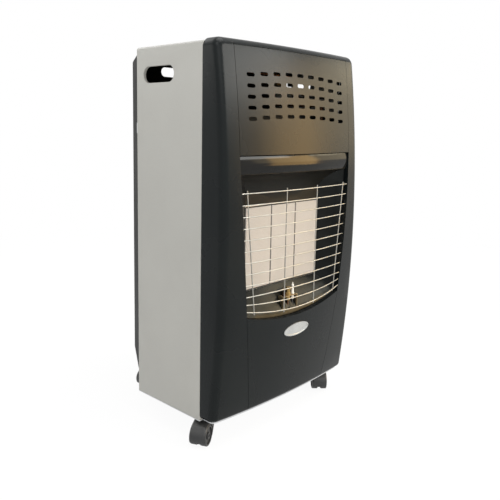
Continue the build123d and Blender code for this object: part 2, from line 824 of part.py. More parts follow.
def make_control_bezel():
    """Recessed well for the knob and the igniter, with a flange on the top panel."""
    bezel = well_stadium(bezel_wall + bezel_flange, body_top + contact_gap, body_top + bezel_wall)
    bezel += well_stadium(bezel_wall, well_floor - bezel_wall, body_top + bezel_wall)
    bezel -= well_stadium(0, well_floor, body_top + bezel_wall + 1)
    rim = bezel.edges().filter_by_position(Axis.Z, body_top + bezel_wall - 0.01, body_top + bezel_wall + 0.01)
    bezel = fillet(rim, bezel_wall / 3)
    bezel -= rod((knob_x, control_y, 0), (knob_x, control_y, body_top), collar_radius + seat_gap)
    return bezel - rod((igniter_x, control_y, 0), (igniter_x, control_y, body_top), igniter_radius + screw_gap)


def make_knob():
    """Round skirt with a raised grip bar and a pointer notch."""
    knob = Pos(knob_x, control_y, knob_low) * extrude(Circle(knob_radius), knob_grip, taper=4)
    bar = Pos(knob_x, control_y, knob_low) * extrude(SlotOverall(2 * knob_radius - 4, 9), knob_height, taper=5)
    top = bar.faces().sort_by(Axis.Z)[-1]
    knob += fillet(top.edges(), knob_round)
    knob -= block((knob_x + knob_radius - 9, knob_x + knob_radius - 3), (control_y - 0.8, control_y + 0.8),
                  (knob_low + knob_height - 1, far))
    return knob - rod((knob_x, control_y, 0), (knob_x, control_y, knob_low + knob_height - 4), spindle_radius)


def make_spindle():
    low = valve_top + bonnet_height - bonnet_bore_depth + push_travel + 1
    return rod((knob_x, control_y, low), (knob_x, control_y, knob_low + knob_height - 4), spindle_radius)


def make_collar():
    ring = rod((knob_x, control_y, collar_top - collar_height), (knob_x, control_y, collar_top), collar_radius)
    return ring - rod((knob_x, control_y, 0), (knob_x, control_y, far), spindle_radius + running_gap)


def make_gas_valve():
    """Valve casting: body, bonnet, four ports."""
    x, y, z = (size / 2 for size in valve_size)
    body = Pos(knob_x, control_y, valve_z) * Box(*valve_size)
    body = fillet(body.edges().filter_by(Axis.Z), 4)
    body += rod((knob_x, control_y, valve_z), (knob_x, control_y, bonnet_top), bonnet_radius)
    body += rod((knob_x, control_y, valve_z), (knob_x, control_y, valve_z - z - port_length), port_radius)
    body += rod((knob_x, control_y, valve_z), (knob_x, control_y - y - port_length, valve_z), port_radius - 2)
    body += rod((knob_x, control_y, thermo_port_z()), (knob_x - x - port_length, control_y, thermo_port_z()),
                port_radius - 3)
    return body - rod((knob_x, control_y, bonnet_top - bonnet_bore_depth), (knob_x, control_y, far),
                      spindle_radius + running_gap)


def thermo_port_z():
    return valve_z + 6


def make_inlet_nipple():
    """Hose spigot with its hexagon, screwed into the rear of the valve."""
    start = control_y + valve_size[1] / 2
    nipple = Pos(knob_x, start, valve_z) * extrude(Plane.XZ * RegularPolygon(port_radius + 1.5, 6), -inlet_hex)
    end = start + inlet_hex + inlet_length
    spigot = rod((knob_x, start, valve_z), (knob_x, end, valve_z), inlet_radius)
    nipple += chamfer(spigot.edges().sort_by(Axis.Y)[-1], inlet_chamfer)
    return nipple - rod((knob_x, start + 2, valve_z), (knob_x, far, valve_z), inlet_radius / 2)


def bracket_reach():
    return well_width / 2 + bezel_wall + bracket_margin


def make_valve_bracket():
    """Hanger from the top panel that holds the valve by its bonnet."""
    top = body_top - sheet - seat_gap / 3
    low = bonnet_top - bonnet_height / 2
    x = (knob_x - bracket_width / 2, knob_x + bracket_width / 2)
    reach = bracket_reach()
    bracket = block(x, (control_y - reach, control_y + reach), (low - bracket_sheet / 2, low + bracket_sheet / 2))
    for side in (-1, 1):
        arm = sorted((control_y + side * reach, control_y + side * (reach - bracket_sheet)))
        bracket += block(x, arm, (low - bracket_sheet / 2, top))
        foot = sorted((control_y + side * (reach - bracket_sheet), control_y + side * (reach + bracket_foot)))
        bracket += block(x, foot, (top - bracket_sheet, top))
    return bracket - rod((knob_x, control_y, 0), (knob_x, control_y, far), bonnet_radius + contact_gap)


def make_igniter_body():
    """Piezo unit: cap on the well's floor, barrel below it."""
    body = rod((igniter_x, control_y, well_floor), (igniter_x, control_y, well_floor + igniter_cap), igniter_cap_radius)
    body += rod((igniter_x, control_y, well_floor - igniter_length), (igniter_x, control_y, well_floor), igniter_radius)
    bottom = button_low() - button_travel - 1
    return body - rod((igniter_x, control_y, bottom), (igniter_x, control_y, far), button_radius + button_gap)


def button_low():
    return well_floor - button_height / 2


def make_igniter_button():
    high = well_floor + igniter_cap + button_height - button_travel
    button = rod((igniter_x, control_y, button_low()), (igniter_x, control_y, high), button_radius)
    return fillet(button.edges().sort_by(Axis.Z)[-1], 1.0)


def make_igniter_nut():
    top = well_floor - bezel_wall - contact_gap
    nut = Pos(igniter_x, control_y, top - igniter_nut_height) * extrude(RegularPolygon(igniter_nut, 6),
                                                                        igniter_nut_height)
    return nut - rod((igniter_x, control_y, 0), (igniter_x, control_y, far), igniter_radius + 0.05)


# ---- pipes and leads -----------------------------------------------------
def make_burner_pipe():
    start = valve_z - valve_size[2] / 2 - port_length - contact_gap
    points = ((knob_x, control_y, start), (knob_x, control_y, burner_run_z), (burner_run_x, control_y, burner_run_z),
              (burner_run_x, plenum_mid_y, burner_run_z), (burner_run_x, plenum_mid_y, rail_z),
              (rail_right_x + contact_gap, plenum_mid_y, rail_z))
    return tube(points, pipe_bend, burner_pipe_radius)


def pilot_route(start, run_y, side_x, low_z, part_x):
    """Route from a start point down one side and up into the pilot plate."""
    end_z = pilot_plate_z - pilot_plate[2] - pilot_tail - contact_gap
    return tuple(start) + ((side_x, run_y, start[-1][2]), (side_x, run_y, low_z), (part_x, run_y, low_z),
                           (part_x, pilot_y, low_z), (part_x, pilot_y, end_z))


def make_pilot_pipe():
    start_y = control_y - valve_size[1] / 2 - port_length - contact_gap
    start = ((knob_x, start_y, valve_z), (knob_x, pilot_run_y, valve_z))
    return tube(pilot_route(start, pilot_run_y, -pilot_run_x, pilot_run_z, pilot_x), pipe_bend, pilot_pipe_radius)


def make_thermocouple_lead():
    start_x = knob_x - valve_size[0] / 2 - port_length - contact_gap
    z = thermo_port_z()
    start = ((start_x, control_y, z), (start_x - 40, control_y, z), (start_x - 40, thermo_run_y, z))
    return tube(pilot_route(start, thermo_run_y, -thermo_run_x, thermo_run_z, thermocouple_x), pipe_bend,
                thermo_lead_radius)


def make_spark_lead():
    top = well_floor - igniter_length - contact_gap
    start = ((igniter_x, control_y, top), (igniter_x, control_y, top - 24), (igniter_x, spark_run_y, top - 24))
    return tube(pilot_route(start, spark_run_y, spark_run_x, spark_run_z, electrode_x), pipe_bend, lead_radius)


# ---- cabinet -------------------------------------------------------------
def side_tray(inset):
    """Left side panel's outer form moved in evenly; open below and inward."""
    low = side_low if inset == 0 else 0
    tray = block((inset - half_width, side_flange - half_width + inset), (inset, side_depth - inset),
                 (low, body_top - inset))
    outer = [e for e in tray.edges() if abs((e @ 0.5).X + half_width - inset) < 0.01]
    tray = fillet([e for e in outer if (e @ 0.5).Z > body_top - 1 - inset], fold_radius - inset)
    uprights = [e for e in tray.edges() if abs((e @ 0).X + half_width - inset) < 0.01
                and abs((e @ 1).X + half_width - inset) < 0.01 and abs((e % 0.5).Z) > 0.99]
    return fillet(uprights, edge_fold_radius - inset)


def make_side_panel(side):
    """Folded side with a lipped handle slot; drawn as the left one."""
    panel = side_tray(0) - side_tray(sheet)
    centre = Pos(0, handle_y, handle_z)
    outer = centre * extrude(Plane.YZ * SlotOverall(handle_length + 2 * handle_lip_wall,
                                                    handle_height + 2 * handle_lip_wall), handle_lip)
    panel += Pos(-half_width, 0, 0) * outer
    hole = centre * extrude(Plane.YZ * SlotOverall(handle_length, handle_height), far, both=True)
    panel -= hole & block((-far, 0), (-far, far), (0, far))
    edges = [e for e in panel.edges() if abs((e @ 0.5).X + half_width) < 0.01
             and abs((e @ 0.5).Z - handle_z) < handle_height and abs((e @ 0.5).Y - handle_y) < handle_length / 2 + 1]
    panel = fillet(edges, handle_lip_wall * 0.7)
    for z in screw_heights():
        panel -= screw_bar(-screw_x, z, screw_radius + screw_gap)
    return panel if side < 0 else mirror(panel, Plane.YZ)


def screw_heights():
    return side_low + screw_inset, body_top - screw_inset


def screw_bar(x, z, radius):
    return rod((x, side_depth - screw_length, z), (x, side_depth + 1, z), radius)


def make_top_panel():
    """Lid between the side folds: flat plate, joggled edges, folds front and rear."""
    plate_x = half_width - side_flange - seat_gap
    under = body_top - sheet - seat_gap
    lid = block((-plate_x, plate_x), (seat_gap, side_depth - sheet - seat_gap), (body_top - sheet, body_top))
    y = (sheet + seat_gap, side_depth - sheet - seat_gap)
    for side in (-1, 1):
        lid += block(sorted((side * plate_x, side * (plate_x - sheet))), y, (under - sheet, body_top))
        lid += block(sorted((side * (half_width - fold_radius - seat_gap), side * (plate_x - sheet))), y,
                     (under - sheet, under))
    lid += block((-plate_x, plate_x), (seat_gap, sheet + seat_gap), (body_top - top_front_fold, body_top))
    rear_x = half_width - fold_radius
    rear = (side_depth - 2 * sheet - seat_gap, side_depth - sheet - seat_gap)
    lid += block((-rear_x, rear_x), rear, (body_top - top_rear_fold, under))
    lid -= well_stadium(bezel_wall + 2 * contact_gap, 0, body_top + 1)
    for x in (-screw_x, screw_x):
        lid -= screw_bar(x, screw_heights()[1], screw_radius + screw_gap)
    return lid


def cover_outline(inset, front):
    """Plan of the bottle cover moved in evenly: tapered, rounded rear corners."""
    rear = cover_reach - inset
    slope = (cover_half_front - cover_half_rear) / (cover_reach - cover_start_y)
    stretch = inset * math.hypot(1, slope)
    front_half = cover_half_front - stretch + slope * (cover_start_y - front)
    rear_half = cover_half_rear - stretch + slope * inset
    with BuildSketch() as plan:
        with BuildLine():
            Polyline((-front_half, front), (-rear_half, rear), (rear_half, rear), (front_half, front), close=True)
        make_face()
        fillet(plan.vertices().group_by(Axis.Y)[-1], cover_corner - inset)
    return plan.sketch


def make_base_pan():
    """Floor of the cabinet: hemmed front, side folds, tapered rear with a rim."""
    low, top = floor_gap, floor_gap + base_sheet
    middle = block((-half_width, half_width), (0, side_depth), (low, top))
    corners = middle.edges().filter_by(Axis.Z)
    middle = fillet(corners, edge_fold_radius)

    def front(inset, height):
        y = base_setback - face_depth(front_foot) + inset
        with BuildSketch(Plane.YZ) as side:
            with BuildLine():
                Polyline((y, low), (side_depth, low), (side_depth, height), (y, height), close=True)
            make_face()
        nose = crowned(side.sketch) & block((inset - base_front_half, base_front_half - inset), (-far, sheet),
                                            (low, height))
        return fillet(nose.edges().filter_by(Axis.Z).group_by(Axis.Y)[0], base_corner - inset)
    hem = front(0, low + base_hem) - Pos(0, 0, base_sheet) * front(base_sheet, low + base_hem)
    hem -= block((-far, far), (seat_gap, far), (top, far))
    start = side_depth - sheet
    rear = Pos(0, 0, low) * extrude(cover_outline(base_inset, start), base_rim)
    rear -= Pos(0, 0, top) * extrude(cover_outline(base_inset + base_sheet, start - 1), base_rim)
    pan = middle + hem + rear - block((-far, far), (0, side_depth + seat_gap), (top, far))
    for side in (-1, 1):
        x = sorted((side * panel_x, side * (panel_x - base_sheet)))
        pan += block(x, (4, side_depth - 4), (low, top + base_side_flange))
        tab = sorted((side * (screw_x - 2 * screw_head_radius), side * panel_x))
        pan += block(tab, (side_depth - 2 * sheet - seat_gap, side_depth - sheet - seat_gap),
                     (low, side_low + screw_inset + 2 * screw_head_radius))
        pan -= screw_bar(side * screw_x, screw_heights()[0], screw_radius + screw_gap)
    for x, y, _ in stems():
        pan -= rod((x, y, 0), (x, y, 2 * floor_gap), stem_radius + socket_wall + seat_gap)
    return pan


def make_rear_cover():
    """Lift-off cover over the gas bottle, open to the front and below."""
    def form(inset, front, low):
        shape = Pos(0, 0, low) * extrude(cover_outline(inset, front), cover_top_z - inset - low)
        rims = [e for e in shape.edges() if abs((e @ 0.5).Z - cover_top_z + inset) < 0.01
                and (e @ 0.5).Y > front + 1]
        return fillet(rims, cover_edge - inset)
    cover = form(0, cover_start_y, cover_foot_z) - form(sheet, cover_start_y - 1, 0)
    inner = cover_half_front - cover_return
    ends = extrude(cover_outline(0, cover_start_y), cover_top_z - cover_foot_z - cover_edge)
    returns = Pos(0, 0, cover_foot_z) * ends & block((-far, far), (cover_start_y, cover_start_y + sheet), (0, far))
    returns -= block((-inner, inner), (-far, far), (0, far))
    cover += returns
    back = Pos(0, cover_reach, 0)
    cover -= back * Pos(0, 0, grip_z) * extrude(Plane.XZ * SlotOverall(grip_length, grip_height), 4, both=True)
    for row in range(louvre_rows):
        for column in (-1, 0, 1):
            place = back * Pos(column * louvre_pitch_x, 0, louvre_low_z + row * louvre_pitch_z)
            cover -= place * extrude(Plane.XZ * SlotOverall(louvre_length, louvre_height), 4, both=True)
    start = side_depth + tongue_y()
    for side in (-1, 1):
        x = (side * hook_x - tongue_width / 2, side * hook_x + tongue_width / 2)
        cover += block(x, (start, start + tongue_thick), (hook_z - staple_height + 2, hook_z + bridge_height))
        cover += block(x, (start, cover_start_y + sheet), (hook_z + seat_gap, hook_z + bridge_height))
    return cover


def tongue_y():
    """Front of the cover's tongues behind the side panels' rear folds."""
    return (staple_depth - tongue_thick) / 2


def make_cover_staples():
    """Two staples on the rear folds; the cover's tongues drop into them."""
    staples = []
    for side in (-1, 1):
        inner = tongue_width / 2 + tongue_gap
        outer = inner + staple_wall
        x = side * hook_x
        z = (hook_z - staple_height, hook_z)
        staple = block((x - outer, x + outer), (side_depth, side_depth + staple_depth + staple_wall), z)
        staples.append(staple - block((x - inner, x + inner), (0, side_depth + staple_depth), (0, far)))
    return Compound(children=staples)


def make_cover_bumpers():
    """Rubber pads that steady the foot of the cover."""
    width, height = bumper_size
    pads = []
    for side in (-1, 1):
        x = side * hook_x
        pads.append(block((x - width / 2, x + width / 2), (side_depth, cover_start_y - seat_gap),
                          (bumper_z - height / 2, bumper_z + height / 2)))
    return Compound(children=pads)


def make_screws():
    """Pan-head screws through the rear folds."""
    screws = []
    for x in (-screw_x, screw_x):
        for z in screw_heights():
            shank = rod((x, side_depth - screw_length, z), (x, side_depth, z), screw_radius)
            head = rod((x, side_depth, z), (x, side_depth + screw_head, z), screw_head_radius)
            head = fillet(head.edges().sort_by(Axis.Y)[-1], screw_round)
            slot = block((x - screw_slot, x + screw_slot), (side_depth + screw_slot_floor, far),
                         (z - screw_head_radius, far))
            slot &= block((-far, far), (0, far), (0, z + screw_head_radius))
            screws.append(shank + head - slot)
    return Compound(children=screws)


# ---- casters -------------------------------------------------------------
def stems():
    """Place and parked turn of each caster stem."""
    return ((-front_stem_x, front_stem_y, front_left_turn), (front_stem_x, front_stem_y, front_right_turn),
            (-rear_stem_x, rear_stem_y, rear_left_turn), (rear_stem_x, rear_stem_y, rear_right_turn))


def make_caster_sockets():
    """Flanged bushes in the base pan that the caster stems turn in."""
    sockets = []
    top = floor_gap + base_sheet
    radius = stem_radius + socket_wall
    for x, y, _ in stems():
        socket = rod((x, y, floor_gap), (x, y, top + stem_rise), radius)
        socket += rod((x, y, top), (x, y, top + socket_flange_thick), radius + socket_flange)
        sockets.append(socket - rod((x, y, 0), (x, y, far), stem_radius + running_gap))
    return Compound(children=sockets)


def hood_touch(x, z, side):
    """Point of the hood's round outline where the straight line from (x, z) meets it smoothly."""
    lean = math.atan2(z - wheel_radius, x + trail)
    lean += side * math.acos(hood_radius / math.hypot(x + trail, z - wheel_radius))
    return hood_radius * math.cos(lean) - trail, wheel_radius + hood_radius * math.sin(lean)


def caster_hood():
    """Twin-wheel hood: centre web, skirt over both treads, boss round the stem."""
    axle = (-trail, wheel_radius)
    rear, front = (-stem_boss, stem_boss_top), (stem_boss, stem_boss_low)
    with BuildSketch(Plane.XZ) as profile:
        with Locations(axle):
            Circle(hood_radius)
        with BuildLine():
            Polyline(hood_touch(*rear, 1), rear, (stem_boss, stem_boss_top), front, hood_touch(*front, -1), axle,
                     close=True)
        make_face()
    hood = extrude(profile.sketch, hood_half, both=True)
    hood &= block((-far, far), (-far, far), (wheel_radius - hood_skirt_drop, far))
    rims = [e for e in hood.edges() if abs(abs((e @ 0.5).Y) - hood_half) < 0.01
            and (e @ 0.5).Z > wheel_radius - hood_skirt_drop + 1]
    hood = fillet(rims, hood_round)
    space = hood_radius - hood_wall
    for side in (-1, 1):
        hood -= rod((-trail, side * web_thick / 2, wheel_radius), (-trail, side * far, wheel_radius), space)
    hood += rod((-trail, -web_thick / 2, wheel_radius), (-trail, web_thick / 2, wheel_radius), wheel_radius - web_rise)
    hood -= rod((-trail, -far, wheel_radius), (-trail, far, wheel_radius), axle_radius + running_gap)
    return hood - rod((0, 0, stem_boss_top - stem_seat), (0, 0, far), stem_radius)


def caster_wheel(side):
    """Dished wheel with rounded tread edges."""
    inner = web_thick / 2 + wheel_gap
    outer = inner + wheel_width
    wheel = rod((-trail, side * inner, wheel_radius), (-trail, side * outer, wheel_radius), wheel_radius)
    wheel = fillet(wheel.edges(), tread_round)
    dish = rod((-trail, side * (outer - wheel_dish), wheel_radius), (-trail, side * far, wheel_radius),
               wheel_radius - 2 * tread_round)
    wheel -= dish - rod((-trail, side * inner, wheel_radius), (-trail, side * far, wheel_radius), hub_radius)
    return wheel - rod((-trail, -far, wheel_radius), (-trail, far, wheel_radius), axle_radius)


def write_caster(name, x, y, turn):
    place = Pos(x, y, 0) * Rot(0, 0, turn)
    low = stem_boss_top - stem_seat
    write(name + "_hood", place * caster_hood())
    write(name + "_stem", place * rod((0, 0, low), (0, 0, floor_gap + base_sheet + stem_rise - 1), stem_radius))
    reach = hood_half - wheel_dish
    write(name + "_axle", place * rod((-trail, -reach, wheel_radius), (-trail, reach, wheel_radius), axle_radius))
    write(name + "_wheels", place * Compound(children=[caster_wheel(-1), caster_wheel(1)]))


front_left = Pos(-front_stem_x, front_stem_y, 0) * Rot(0, 0, front_left_turn) * caster_hood()
shift_x = -(front_left.bounding_box().min.X + half_width) / 2


def write(node, shape):
    export_step(Pos(shift_x, shift_y, 0) * shape, os.path.join("parts", node + ".step"))


os.makedirs("parts", exist_ok=True)
write("front_frame", make_front_frame())
write("vent_panel", make_vent_panel())
write("lower_front_panel", make_lower_panel())
write("badge", make_badge())
write("visor_strip", make_visor_strip())
write("burner_hood", make_burner_hood())
write("reflector", make_reflector())
write("guard_grille", make_guard())
for column, name in ((-1, "left"), (0, "centre"), (1, "right")):
    write("ceramic_plaque_" + name, make_plaque(column))
write("plaque_seal", make_plaque_seal())
write("burner_housing", make_burner_housing())
write("venturi_tubes", make_venturi_tubes())
write("injector_rail", make_injector_rail())
write("heat_shield", make_heat_shield())
write("pilot_bracket", make_pilot_bracket())
write("pilot_burner", make_pilot_burner())
write("spark_electrode", make_electrode())
write("thermocouple", make_thermocouple())
write("control_bezel", make_control_bezel())
write("control_knob", make_knob())
write("valve_spindle", make_spindle())
write("valve_collar", make_collar())
write("gas_valve", make_gas_valve())
write("valve_bracket", make_valve_bracket())
write("inlet_nipple", make_inlet_nipple())
write("igniter_body", make_igniter_body())
write("igniter_button", make_igniter_button())
write("igniter_nut", make_igniter_nut())
write("burner_pipe", make_burner_pipe())
write("pilot_pipe", make_pilot_pipe())
write("thermocouple_lead", make_thermocouple_lead())
write("spark_lead", make_spark_lead())
write("left_side_panel", make_side_panel(-1))
write("right_side_panel", make_side_panel(1))
write("top_panel", make_top_panel())
write("base_pan", make_base_pan())
write("rear_cover", make_rear_cover())
write("cover_staples", make_cover_staples())
write("cover_bumpers", make_cover_bumpers())
write("panel_screws", make_screws())
write("caster_sockets", make_caster_sockets())
for (x, y, turn), name in zip(stems(), ("front_left", "front_right", "rear_left", "rear_right")):
    write_caster("caster_" + name, x, y, turn)
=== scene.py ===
import json
import math

import bmesh
import bpy
from mathutils import Matrix, Vector


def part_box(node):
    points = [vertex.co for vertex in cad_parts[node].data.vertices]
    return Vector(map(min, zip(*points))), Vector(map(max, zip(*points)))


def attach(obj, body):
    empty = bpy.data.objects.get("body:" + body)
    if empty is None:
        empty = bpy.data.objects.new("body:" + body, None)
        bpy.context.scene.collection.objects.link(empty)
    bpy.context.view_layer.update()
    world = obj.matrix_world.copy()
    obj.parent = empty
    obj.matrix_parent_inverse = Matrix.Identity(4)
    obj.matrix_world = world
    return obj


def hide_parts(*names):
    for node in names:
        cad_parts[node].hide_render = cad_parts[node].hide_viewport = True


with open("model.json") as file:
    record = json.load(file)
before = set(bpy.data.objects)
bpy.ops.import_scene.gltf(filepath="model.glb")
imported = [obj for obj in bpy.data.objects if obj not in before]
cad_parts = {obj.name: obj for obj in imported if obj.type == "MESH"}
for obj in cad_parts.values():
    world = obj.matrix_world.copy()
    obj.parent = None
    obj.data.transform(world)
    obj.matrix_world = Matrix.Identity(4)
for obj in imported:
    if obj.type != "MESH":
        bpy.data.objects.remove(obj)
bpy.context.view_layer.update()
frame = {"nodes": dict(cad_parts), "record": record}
nodes = frame["nodes"]
scene = bpy.context.scene
print("frame loaded:", len(nodes), "nodes")


def addObject(name, form):
    # turns a finished bmesh into an object of the scene
    data = bpy.data.meshes.new(name)
    form.to_mesh(data)
    form.free()
    made = bpy.data.objects.new(name, data)
    scene.collection.objects.link(made)
    return made


# camera at the photograph's place, set out from the corner of the left side, metres and radians
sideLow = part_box("left_side_panel")[0]
cameraSet = {
    "place": (sideLow[0] - 0.73585, sideLow[1] - 0.79396, 0.60731),
    "yaw": 0.808084,
    "pitch": 0.141806,
    "roll": 0.017053,
    "lens": 43.5,
    "sensor": 36.0,
    "shift": (0.02466, -0.07576),
    "clip": (0.05, 60),
}


def addCamera(values):
    data = bpy.data.cameras.new("photoCamera")
    data.lens = values["lens"]
    data.sensor_width = values["sensor"]
    data.shift_x, data.shift_y = values["shift"]
    data.clip_start, data.clip_end = values["clip"]
    camera = bpy.data.objects.new("photoCamera", data)
    scene.collection.objects.link(camera)
    turn = Matrix.Rotation(-values["yaw"], 4, "Z") @ Matrix.Rotation(math.pi / 2 - values["pitch"], 4, "X")
    turn = turn @ Matrix.Rotation(values["roll"], 4, "Z")
    camera.matrix_world = Matrix.Translation(values["place"]) @ turn
    scene.camera = camera


addCamera(cameraSet)
scene.view_settings.view_transform = "Standard"
print("camera placed")


# effects that several finishes use
def newGroup(name, inputs, outputs):
    group = bpy.data.node_groups.new(name, "ShaderNodeTree")
    for label, kind, value in inputs:
        socket = group.interface.new_socket(label, in_out="INPUT", socket_type=kind)
        socket.default_value = value
    for label, kind in outputs:
        group.interface.new_socket(label, in_out="OUTPUT", socket_type=kind)
    return group, group.nodes.new("NodeGroupInput"), group.nodes.new("NodeGroupOutput")


def node(tree, kind, **settings):
    made = tree.nodes.new(kind)
    for key, value in settings.items():
        if key in made.inputs:
            made.inputs[key].default_value = value
        else:
            setattr(made, key, value)
    return made


def join(tree, *pairs):
    for start, end in pairs:
        tree.links.new(start, end)


def mathNode(tree, operation, first, second):
    made = tree.nodes.new("ShaderNodeMath")
    made.operation = operation
    for socket, value in zip(made.inputs, (first, second)):
        if isinstance(value, (int, float)):
            socket.default_value = value
        else:
            tree.links.new(value, socket)
    return made.outputs[0]


def mixColour(tree, factor, first, second):
    made = tree.nodes.new("ShaderNodeMix")
    made.data_type = "RGBA"
    for socket, value in zip((made.inputs[0], made.inputs[6], made.inputs[7]), (factor, first, second)):
        if isinstance(value, (int, float, tuple)):
            socket.default_value = value
        else:
            tree.links.new(value, socket)
    return made.outputs[2]


def spread(tree, value, low, high, fromLow, fromHigh):
    # maps fromLow..fromHigh to low..high, held at both ends
    made = tree.nodes.new("ShaderNodeMapRange")
    tree.links.new(value, made.inputs["Value"])
    for label, number in (("From Min", fromLow), ("From Max", fromHigh), ("To Min", low), ("To Max", high)):
        made.inputs[label].default_value = number
    return made.outputs[0]


middleNoise = (0.3, 0.7)  # the part of a noise value that holds most of the surface
effectSet = {
    "fine": {"Detail": 3.0, "Roughness": 0.6},
    "cloud": {"Detail": 4.0, "Roughness": 0.55},
    "lines": {"Detail": 2.0, "Roughness": 0.5},
    "dust": {"Scale": 38.0, "Detail": 5.0, "Roughness": 0.65},
    "dustLean": (0.25, 1.0),
    "dustNoise": (0.35, 0.7),
    "dustCover": (0.2, 1.0),
    "dustTone": (0.42, 0.4, 0.37, 1),
    "dustDulls": 0.5,
}


def makeGrainGroup():
    # fine speckle and a slow cloud, both 0 to 1
    group, start, end = newGroup(
        "grain",
        [("Fine Scale", "NodeSocketFloat", 900.0), ("Cloud Scale", "NodeSocketFloat", 6.0)],
        [("Speckle", "NodeSocketFloat"), ("Cloud", "NodeSocketFloat")],
    )
    place = node(group, "ShaderNodeTexCoord")
    fine = node(group, "ShaderNodeTexNoise", **effectSet["fine"])
    cloud = node(group, "ShaderNodeTexNoise", **effectSet["cloud"])
    join(
        group,
        (place.outputs["Object"], fine.inputs["Vector"]),
        (place.outputs["Object"], cloud.inputs["Vector"]),
        (start.outputs["Fine Scale"], fine.inputs["Scale"]),
        (start.outputs["Cloud Scale"], cloud.inputs["Scale"]),
        (fine.outputs["Fac"], end.inputs["Speckle"]),
        (cloud.outputs["Fac"], end.inputs["Cloud"]),
    )
    return group


def makeBrushGroup():
    # long fine lines along one axis, as brushing or rolling leaves
    group, start, end = newGroup(
        "brushLines",
        [("Stretch", "NodeSocketVector", (1.0, 1.0, 1.0)), ("Scale", "NodeSocketFloat", 400.0)],
        [("Lines", "NodeSocketFloat")],
    )
    place = node(group, "ShaderNodeTexCoord")
    turn = node(group, "ShaderNodeMapping")
    lines = node(group, "ShaderNodeTexNoise", **effectSet["lines"])
    join(
        group,
        (place.outputs["Object"], turn.inputs["Vector"]),
        (start.outputs["Stretch"], turn.inputs["Scale"]),
        (turn.outputs["Vector"], lines.inputs["Vector"]),
        (start.outputs["Scale"], lines.inputs["Scale"]),
        (lines.outputs["Fac"], end.inputs["Lines"]),
    )
    return group


def makeDustGroup():
    # thin dust where a face looks up, broken by noise
    group, start, end = newGroup(
        "dustFilm",
        [("Color", "NodeSocketColor", (0.5, 0.5, 0.5, 1)), ("Amount", "NodeSocketFloat", 0.2)],
        [("Color", "NodeSocketColor"), ("Mask", "NodeSocketFloat")],
    )
    face = node(group, "ShaderNodeNewGeometry")
    split = node(group, "ShaderNodeSeparateXYZ")
    place = node(group, "ShaderNodeTexCoord")
    noise = node(group, "ShaderNodeTexNoise", **effectSet["dust"])
    join(
        group,
        (face.outputs["Normal"], split.inputs[0]),
        (place.outputs["Object"], noise.inputs["Vector"]),
    )
    up = spread(group, split.outputs["Z"], 0.0, 1.0, *effectSet["dustLean"])
    broken = spread(group, noise.outputs["Fac"], *effectSet["dustCover"], *effectSet["dustNoise"])
    mask = mathNode(group, "MULTIPLY", mathNode(group, "MULTIPLY", up, broken), start.outputs["Amount"])
    colour = mixColour(group, mask, start.outputs["Color"], effectSet["dustTone"])
    join(group, (colour, end.inputs["Color"]), (mask, end.inputs["Mask"]))
    return group


effects = {"grain": makeGrainGroup(), "brush": makeBrushGroup(), "dust": makeDustGroup()}
print("shared effects built")


def useGroup(tree, name, **values):
    made = tree.nodes.new("ShaderNodeGroup")
    made.node_tree = effects[name]
    for key, value in values.items():
        made.inputs[key.replace("_", " ")].default_value = value
    return made


def startMaterial(name):
    material = bpy.data.materials.new(name)
    material.use_nodes = True
    tree = material.node_tree
    return material, tree, tree.nodes["Principled BSDF"]


def addTone(tree, grain, values):
    # slow drift between a finish's two tones
    drift = spread(tree, grain.outputs["Cloud"], 0.0, 1.0, *middleNoise)
    return mixColour(tree, drift, values["dark"], values["light"])


def addDust(tree, shader, colour, amount):
    dust = useGroup(tree, "dust", Amount=amount)
    join(tree, (colour, dust.inputs["Color"]), (dust.outputs["Color"], shader.inputs["Base Color"]))
    return dust


bumpDepth = {"paint": 0.0002, "metal": 0.0001, "plastic": 0.0002}


def addBump(tree, shader, height, strength, distance):
    bump = node(tree, "ShaderNodeBump", Strength=strength, Distance=distance)
    join(tree, (height, bump.inputs["Height"]), (bump.outputs["Normal"], shader.inputs["Normal"]))


def paintMaterial(name, values):
    # sprayed paint: slow tone drift, fine texture, dust on upward faces
    material, tree, shader = startMaterial(name)
    grain = useGroup(tree, "grain", Fine_Scale=values["fineScale"], Cloud_Scale=values["cloudScale"])
    base = addTone(tree, grain, values)
    flake = spread(tree, grain.outputs["Speckle"], -values["flake"], values["flake"], *middleNoise)
    flaked = node(tree, "ShaderNodeHueSaturation")
    join(tree, (base, flaked.inputs["Color"]), (mathNode(tree, "ADD", flake, 1.0), flaked.inputs["Value"]))
    dust = addDust(tree, shader, flaked.outputs["Color"], values["dust"])
    rough = spread(tree, grain.outputs["Cloud"], *values["rough"], *middleNoise)
    dulled = mathNode(tree, "MULTIPLY", dust.outputs["Mask"], effectSet["dustDulls"])
    worn = mathNode(tree, "ADD", rough, dulled)
    join(tree, (worn, shader.inputs["Roughness"]))
    shader.inputs["Metallic"].default_value = values["metallic"]
    shader.inputs["Specular IOR Level"].default_value = values["specular"]
    shader.inputs["Coat Weight"].default_value = values["coat"]
    shader.inputs["Coat Roughness"].default_value = values["coatRough"]
    addBump(tree, shader, grain.outputs["Speckle"], values["bump"], bumpDepth["paint"])
    return material


def metalMaterial(name, values):
    # bare or plated metal with brushed lines and a slow stain
    material, tree, shader = startMaterial(name)
    brush = useGroup(tree, "brush", Stretch=values["stretch"], Scale=values["scale"])
    grain = useGroup(tree, "grain", Cloud_Scale=values["cloudScale"])
    addDust(tree, shader, addTone(tree, grain, values), values["dust"])
    rough = spread(tree, brush.outputs["Lines"], *values["rough"], *middleNoise)
    join(tree, (rough, shader.inputs["Roughness"]))
    shader.inputs["Metallic"].default_value = 1.0
    addBump(tree, shader, brush.outputs["Lines"], values["bump"], bumpDepth["metal"])
    return material


plasticCloud = 14.0


